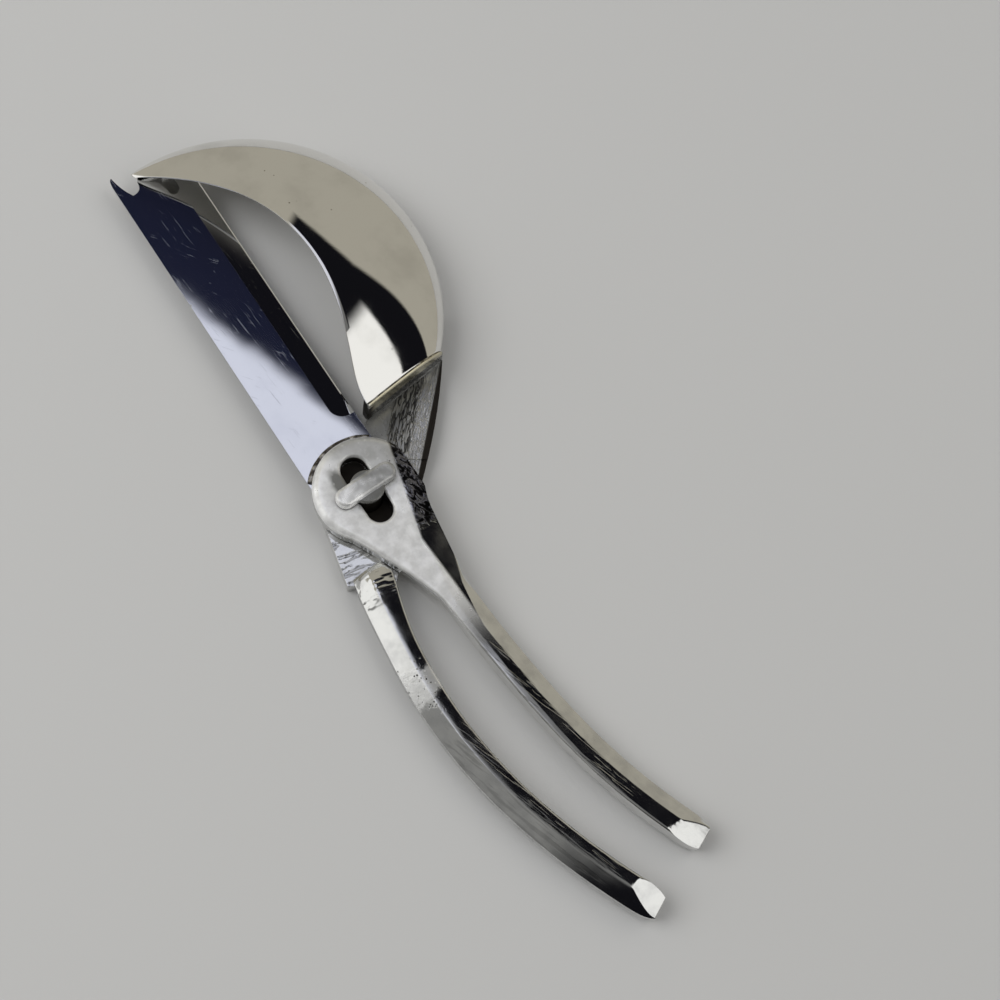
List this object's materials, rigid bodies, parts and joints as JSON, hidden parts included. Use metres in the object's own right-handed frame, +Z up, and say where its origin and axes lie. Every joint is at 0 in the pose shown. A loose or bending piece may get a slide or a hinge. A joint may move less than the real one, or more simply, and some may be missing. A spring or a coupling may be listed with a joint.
{
  "type": "clam knife",
  "caption": "Plier-like clam knife: a flat blade on one lever slides under a domed shell cup on the other, with a hammer-headed stud as a take-apart pivot.",
  "frame": {"origin": "on the pivot axis, in the plane that the tool lies on", "axes": "+Y from the handles to the tip of the blade, +X towards the cup, +Z up out of the resting plane along the pivot"},
  "size_m": [0.0643, 0.2165, 0.0201],
  "materials": {
    "cast_chrome": "cast, polished and plated, worn to satin at the joint",
    "cup_chrome": "pressed, mirror polished and plated",
    "blade_chrome": "mirror polished, with fine scratches along it",
    "stud_metal": "cast, worn bright on top"
  },
  "bodies": {
    "cup_half": {"cup_lever": "cast_chrome", "shell_cup": "cup_chrome", "pivot_stud": "stud_metal"},
    "blade_half": {"blade_lever": "cast_chrome", "blade": "blade_chrome"}
  },
  "joints": [
    {"name": "lever_pivot", "type": "hinge", "parent": "cup_half", "child": "blade_half", "pos_m": [0, 0, 0.0067], "axis": [0, 0, 1], "range_deg": [-2.5, 93]}
  ]
}
